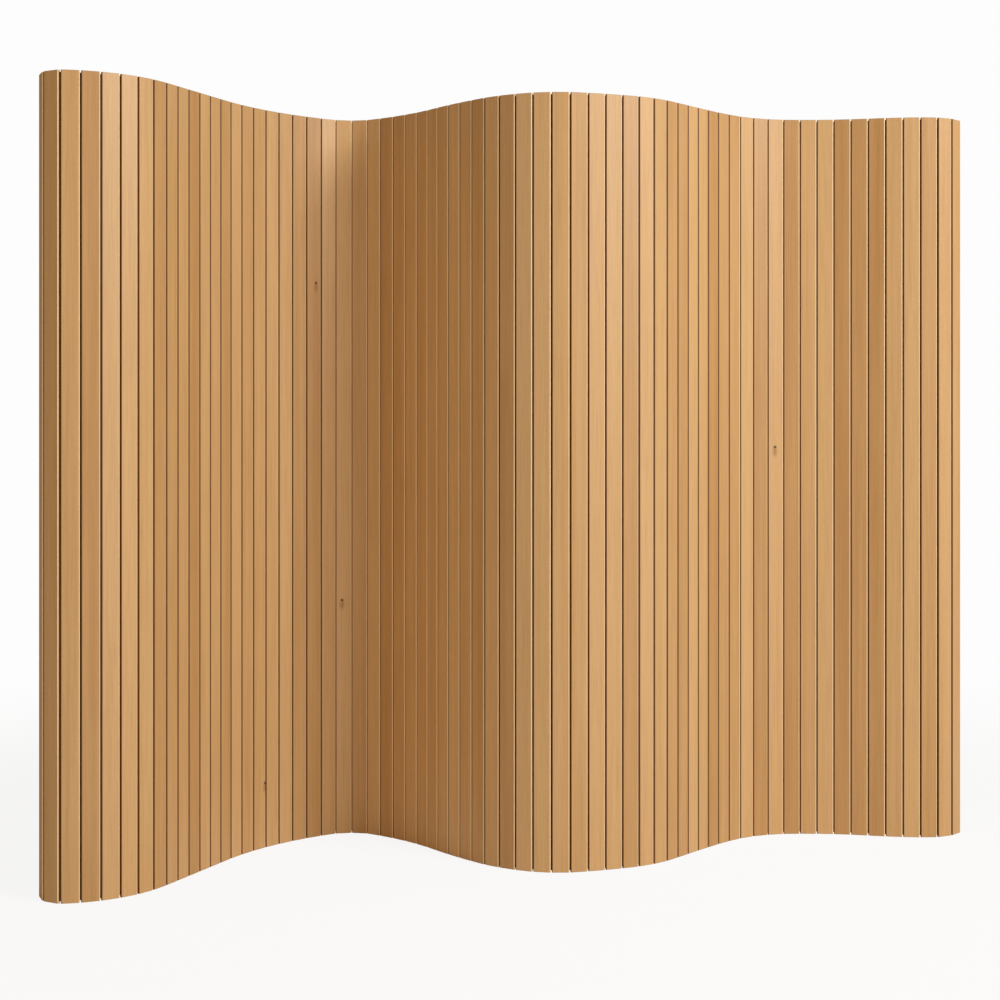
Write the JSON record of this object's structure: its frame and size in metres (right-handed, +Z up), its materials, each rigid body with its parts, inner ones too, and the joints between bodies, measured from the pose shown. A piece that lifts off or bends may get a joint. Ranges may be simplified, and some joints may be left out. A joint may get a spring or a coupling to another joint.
{
  "type": "bamboo folding screen",
  "caption": "Free-standing room divider of upright flat bamboo slats glued side by side to one cloth, set in waves or rolled up.",
  "frame": {"origin": "on the floor, under the middle of the screen as it stands in its waves", "axes": "+X along the screen from its left end to its right end as seen from the front; +Y away from the viewer; +Z up along the slats"},
  "size_m": [1.9929, 0.5843, 1.65],
  "materials": {
    "bamboo": "clear satin lacquer on golden bamboo",
    "canvas": "plain woven dark brown canvas"
  },
  "bodies": {
    "slat_01": {"slat_01": "bamboo"},
    "slat_02": {"slat_02": "bamboo"},
    "slat_03": {"slat_03": "bamboo"},
    "slat_04": {"slat_04": "bamboo"},
    "slat_05": {"slat_05": "bamboo"},
    "slat_06": {"slat_06": "bamboo"},
    "slat_07": {"slat_07": "bamboo"},
    "slat_08": {"slat_08": "bamboo"},
    "slat_09": {"slat_09": "bamboo"},
    "slat_10": {"slat_10": "bamboo"},
    "slat_11": {"slat_11": "bamboo"},
    "slat_12": {"slat_12": "bamboo"},
    "slat_13": {"slat_13": "bamboo"},
    "slat_14": {"slat_14": "bamboo"},
    "slat_15": {"slat_15": "bamboo"},
    "slat_16": {"slat_16": "bamboo"},
    "slat_17": {"slat_17": "bamboo"},
    "slat_18": {"slat_18": "bamboo"},
    "slat_19": {"slat_19": "bamboo"},
    "slat_20": {"slat_20": "bamboo"},
    "slat_21": {"slat_21": "bamboo"},
    "slat_22": {"slat_22": "bamboo"},
    "slat_23": {"slat_23": "bamboo"},
    "slat_24": {"slat_24": "bamboo"},
    "slat_25": {"slat_25": "bamboo"},
    "slat_26": {"slat_26": "bamboo"},
    "slat_27": {"slat_27": "bamboo"},
    "slat_28": {"slat_28": "bamboo"},
    "slat_29": {"slat_29": "bamboo"},
    "slat_30": {"slat_30": "bamboo"},
    "slat_31": {"slat_31": "bamboo"},
    "slat_32": {"slat_32": "bamboo"},
    "slat_33": {"slat_33": "bamboo", "backing_cloth": "canvas"},
    "slat_34": {"slat_34": "bamboo"},
    "slat_35": {"slat_35": "bamboo"},
    "slat_36": {"slat_36": "bamboo"},
    "slat_37": {"slat_37": "bamboo"},
    "slat_38": {"slat_38": "bamboo"},
    "slat_39": {"slat_39": "bamboo"},
    "slat_40": {"slat_40": "bamboo"},
    "slat_41": {"slat_41": "bamboo"},
    "slats_42_43": {"slats_42_43": "bamboo"},
    "slat_44": {"slat_44": "bamboo"},
    "slat_45": {"slat_45": "bamboo"},
    "slats_46_47": {"slats_46_47": "bamboo"},
    "slat_48": {"slat_48": "bamboo"},
    "slats_49_50": {"slats_49_50": "bamboo"},
    "slat_51": {"slat_51": "bamboo"},
    "slats_52_53": {"slats_52_53": "bamboo"},
    "slat_54": {"slat_54": "bamboo"},
    "slats_55_56": {"slats_55_56": "bamboo"},
    "slat_57": {"slat_57": "bamboo"},
    "slats_58_59": {"slats_58_59": "bamboo"},
    "slat_60": {"slat_60": "bamboo"},
    "slats_61_62": {"slats_61_62": "bamboo"},
    "slat_63": {"slat_63": "bamboo"},
    "slat_64": {"slat_64": "bamboo"},
    "slat_65": {"slat_65": "bamboo"},
    "slat_66": {"slat_66": "bamboo"}
  },
  "joints": [
    {"name": "hinge_33_34", "type": "hinge", "parent": "slat_33", "child": "slat_34", "pos_m": [-0.12855, 0.03613, 0], "axis": [0, 0, 1], "range_deg": [-22, 26], "deforming": ["backing_cloth"]},
    {"name": "hinge_34_35", "type": "hinge", "parent": "slat_34", "child": "slat_35", "pos_m": [-0.10093, 0.0086, 0], "axis": [0, 0, 1], "range_deg": [-27.5, 20.5]},
    {"name": "hinge_35_36", "type": "hinge", "parent": "slat_35", "child": "slat_36", "pos_m": [-0.06994, -0.01509, 0], "axis": [0, 0, 1], "range_deg": [-27.5, 20.5]},
    {"name": "hinge_36_37", "type": "hinge", "parent": "slat_36", "child": "slat_37", "pos_m": [-0.03614, -0.03453, 0], "axis": [0, 0, 1], "range_deg": [-26.5, 19.5]},
    {"name": "hinge_37_38", "type": "hinge", "parent": "slat_37", "child": "slat_38", "pos_m": [-0.00008, -0.04939, 0], "axis": [0, 0, 1], "range_deg": [-30, 15]},
    {"name": "hinge_38_39", "type": "hinge", "parent": "slat_38", "child": "slat_39", "pos_m": [0.03828, -0.05643, 0], "axis": [0, 0, 1], "range_deg": [-31, 14]},
    {"name": "hinge_39_40", "type": "hinge", "parent": "slat_39", "child": "slat_40", "pos_m": [0.07727, -0.05534, 0], "axis": [0, 0, 1], "range_deg": [-30, 14]},
    {"name": "hinge_40_41", "type": "hinge", "parent": "slat_40", "child": "slat_41", "pos_m": [0.11517, -0.04617, 0], "axis": [0, 0, 1], "range_deg": [-21, 22]},
    {"name": "hinge_41_42", "type": "hinge", "parent": "slat_41", "child": "slats_42_43", "pos_m": [0.15255, -0.03503, 0], "axis": [0, 0, 1], "range_deg": [-31, 34]},
    {"name": "hinge_43_44", "type": "hinge", "parent": "slats_42_43", "child": "slat_44", "pos_m": [0.22529, -0.00696, 0], "axis": [0, 0, 1], "range_deg": [-36.5, 28.5]},
    {"name": "hinge_44_45", "type": "hinge", "parent": "slat_44", "child": "slat_45", "pos_m": [0.25869, 0.01318, 0], "axis": [0, 0, 1], "range_deg": [-25.5, 15.5]},
    {"name": "hinge_45_46", "type": "hinge", "parent": "slat_45", "child": "slats_46_47", "pos_m": [0.28874, 0.03804, 0], "axis": [0, 0, 1], "range_deg": [-34.5, 27.5]},
    {"name": "hinge_47_48", "type": "hinge", "parent": "slats_46_47", "child": "slat_48", "pos_m": [0.34032, 0.09655, 0], "axis": [0, 0, 1], "range_deg": [-24.5, 36.5]},
    {"name": "hinge_48_49", "type": "hinge", "parent": "slat_48", "child": "slats_49_50", "pos_m": [0.36611, 0.1258, 0], "axis": [0, 0, 1], "range_deg": [-23.5, 35.5]},
    {"name": "hinge_50_51", "type": "hinge", "parent": "slats_49_50", "child": "slat_51", "pos_m": [0.41845, 0.18363, 0], "axis": [0, 0, 1], "range_deg": [-20.5, 38.5]},
    {"name": "hinge_51_52", "type": "hinge", "parent": "slat_51", "child": "slats_52_53", "pos_m": [0.44646, 0.21077, 0], "axis": [0, 0, 1], "range_deg": [-15.5, 42.5]},
    {"name": "hinge_53_54", "type": "hinge", "parent": "slats_52_53", "child": "slat_54", "pos_m": [0.50946, 0.2563, 0], "axis": [0, 0, 1], "range_deg": [-8.5, 47.5]},
    {"name": "hinge_54_55", "type": "hinge", "parent": "slat_54", "child": "slats_55_56", "pos_m": [0.54573, 0.27065, 0], "axis": [0, 0, 1], "range_deg": [-8.5, 47.5]},
    {"name": "hinge_56_57", "type": "hinge", "parent": "slats_55_56", "child": "slat_57", "pos_m": [0.62282, 0.2806, 0], "axis": [0, 0, 1], "range_deg": [-14.5, 40.5]},
    {"name": "hinge_57_58", "type": "hinge", "parent": "slat_57", "child": "slats_58_59", "pos_m": [0.66181, 0.27998, 0], "axis": [0, 0, 1], "range_deg": [-16.5, 37.5]},
    {"name": "hinge_59_60", "type": "hinge", "parent": "slats_58_59", "child": "slat_60", "pos_m": [0.73933, 0.27163, 0], "axis": [0, 0, 1], "range_deg": [-16.5, 38.5]},
    {"name": "hinge_60_61", "type": "hinge", "parent": "slat_60", "child": "slats_61_62", "pos_m": [0.77756, 0.26392, 0], "axis": [0, 0, 1], "range_deg": [-22.5, 30.5]},
    {"name": "hinge_62_63", "type": "hinge", "parent": "slats_61_62", "child": "slat_63", "pos_m": [0.85416, 0.24952, 0], "axis": [0, 0, 1], "range_deg": [-27.5, 24.5]},
    {"name": "hinge_63_64", "type": "hinge", "parent": "slat_63", "child": "slat_64", "pos_m": [0.89307, 0.24687, 0], "axis": [0, 0, 1], "range_deg": [-20.5, 14.5]},
    {"name": "hinge_64_65", "type": "hinge", "parent": "slat_64", "child": "slat_65", "pos_m": [0.93203, 0.24864, 0], "axis": [0, 0, 1], "range_deg": [-36, 1]},
    {"name": "hinge_65_66", "type": "hinge", "parent": "slat_65", "child": "slat_66", "pos_m": [0.96749, 0.26487, 0], "axis": [0, 0, 1], "range_deg": [-36, 1]},
    {"name": "hinge_32_33", "type": "hinge", "parent": "slat_33", "child": "slat_32", "pos_m": [-0.1552, 0.0646, 0], "axis": [0, 0, -1], "range_deg": [-22, 26]},
    {"name": "hinge_31_32", "type": "hinge", "parent": "slat_32", "child": "slat_31", "pos_m": [-0.18084, 0.09399, 0], "axis": [0, 0, -1], "range_deg": [-23, 27]},
    {"name": "hinge_30_31", "type": "hinge", "parent": "slat_31", "child": "slat_30", "pos_m": [-0.20543, 0.12426, 0], "axis": [0, 0, -1], "range_deg": [-24, 28]},
    {"name": "hinge_29_30", "type": "hinge", "parent": "slat_30", "child": "slat_29", "pos_m": [-0.22896, 0.15536, 0], "axis": [0, 0, -1], "range_deg": [-17, 33]},
    {"name": "hinge_28_29", "type": "hinge", "parent": "slat_29", "child": "slat_28", "pos_m": [-0.2546, 0.18475, 0], "axis": [0, 0, -1], "range_deg": [-19, 34]},
    {"name": "hinge_27_28", "type": "hinge", "parent": "slat_28", "child": "slat_27", "pos_m": [-0.28222, 0.21228, 0], "axis": [0, 0, -1], "range_deg": [-18, 35]},
    {"name": "hinge_26_27", "type": "hinge", "parent": "slat_27", "child": "slat_26", "pos_m": [-0.3117, 0.23782, 0], "axis": [0, 0, -1], "range_deg": [-17, 34]},
    {"name": "hinge_25_26", "type": "hinge", "parent": "slat_26", "child": "slat_25", "pos_m": [-0.34289, 0.26123, 0], "axis": [0, 0, -1], "range_deg": [-20, 35]},
    {"name": "hinge_24_25", "type": "hinge", "parent": "slat_25", "child": "slat_24", "pos_m": [-0.37563, 0.28242, 0], "axis": [0, 0, -1], "range_deg": [-1, 54]},
    {"name": "hinge_23_24", "type": "hinge", "parent": "slat_24", "child": "slat_23", "pos_m": [-0.41393, 0.28979, 0], "axis": [0, 0, -1], "range_deg": [-2, 53]},
    {"name": "hinge_22_23", "type": "hinge", "parent": "slat_23", "child": "slat_22", "pos_m": [-0.4522, 0.28228, 0], "axis": [0, 0, -1], "range_deg": [-2, 54]},
    {"name": "hinge_21_22", "type": "hinge", "parent": "slat_22", "child": "slat_21", "pos_m": [-0.48487, 0.26098, 0], "axis": [0, 0, -1], "range_deg": [-20, 37]},
    {"name": "hinge_20_21", "type": "hinge", "parent": "slat_21", "child": "slat_20", "pos_m": [-0.51598, 0.23746, 0], "axis": [0, 0, -1], "range_deg": [-20, 36]},
    {"name": "hinge_19_20", "type": "hinge", "parent": "slat_20", "child": "slat_19", "pos_m": [-0.54537, 0.21182, 0], "axis": [0, 0, -1], "range_deg": [-20, 38]},
    {"name": "hinge_18_19", "type": "hinge", "parent": "slat_19", "child": "slat_18", "pos_m": [-0.5729, 0.1842, 0], "axis": [0, 0, -1], "range_deg": [-21, 37]},
    {"name": "hinge_17_18", "type": "hinge", "parent": "slat_18", "child": "slat_17", "pos_m": [-0.59843, 0.15472, 0], "axis": [0, 0, -1], "range_deg": [-21, 38]},
    {"name": "hinge_16_17", "type": "hinge", "parent": "slat_17", "child": "slat_16", "pos_m": [-0.62185, 0.12353, 0], "axis": [0, 0, -1], "range_deg": [-21, 39]},
    {"name": "hinge_15_16", "type": "hinge", "parent": "slat_16", "child": "slat_15", "pos_m": [-0.64303, 0.09079, 0], "axis": [0, 0, -1], "range_deg": [-21, 39]},
    {"name": "hinge_14_15", "type": "hinge", "parent": "slat_15", "child": "slat_14", "pos_m": [-0.66188, 0.05664, 0], "axis": [0, 0, -1], "range_deg": [-21, 39]},
    {"name": "hinge_13_14", "type": "hinge", "parent": "slat_14", "child": "slat_13", "pos_m": [-0.6783, 0.02127, 0], "axis": [0, 0, -1], "range_deg": [-25, 36]},
    {"name": "hinge_12_13", "type": "hinge", "parent": "slat_13", "child": "slat_12", "pos_m": [-0.69472, -0.01411, 0], "axis": [0, 0, -1], "range_deg": [-26, 37]},
    {"name": "hinge_11_12", "type": "hinge", "parent": "slat_12", "child": "slat_11", "pos_m": [-0.71114, -0.04948, 0], "axis": [0, 0, -1], "range_deg": [-26, 37]},
    {"name": "hinge_10_11", "type": "hinge", "parent": "slat_11", "child": "slat_10", "pos_m": [-0.72756, -0.08486, 0], "axis": [0, 0, -1], "range_deg": [-26, 38]},
    {"name": "hinge_09_10", "type": "hinge", "parent": "slat_10", "child": "slat_09", "pos_m": [-0.74398, -0.12023, 0], "axis": [0, 0, -1], "range_deg": [-26, 38]},
    {"name": "hinge_08_09", "type": "hinge", "parent": "slat_09", "child": "slat_08", "pos_m": [-0.7604, -0.15561, 0], "axis": [0, 0, -1], "range_deg": [-30, 35]},
    {"name": "hinge_07_08", "type": "hinge", "parent": "slat_08", "child": "slat_07", "pos_m": [-0.77925, -0.18975, 0], "axis": [0, 0, -1], "range_deg": [-37, 30]},
    {"name": "hinge_06_07", "type": "hinge", "parent": "slat_07", "child": "slat_06", "pos_m": [-0.80374, -0.2201, 0], "axis": [0, 0, -1], "range_deg": [-37, 30]},
    {"name": "hinge_05_06", "type": "hinge", "parent": "slat_06", "child": "slat_05", "pos_m": [-0.83313, -0.24574, 0], "axis": [0, 0, -1], "range_deg": [-37, 31]},
    {"name": "hinge_04_05", "type": "hinge", "parent": "slat_05", "child": "slat_04", "pos_m": [-0.86652, -0.26588, 0], "axis": [0, 0, -1], "range_deg": [-37, 32]},
    {"name": "hinge_03_04", "type": "hinge", "parent": "slat_04", "child": "slat_03", "pos_m": [-0.90291, -0.27992, 0], "axis": [0, 0, -1], "range_deg": [-37, 33]},
    {"name": "hinge_02_03", "type": "hinge", "parent": "slat_03", "child": "slat_02", "pos_m": [-0.94118, -0.28743, 0], "axis": [0, 0, -1], "range_deg": [-66, 6]},
    {"name": "hinge_01_02", "type": "hinge", "parent": "slat_02", "child": "slat_01", "pos_m": [-0.97596, -0.26979, 0], "axis": [0, 0, -1], "range_deg": [-66, 7]}
  ]
}
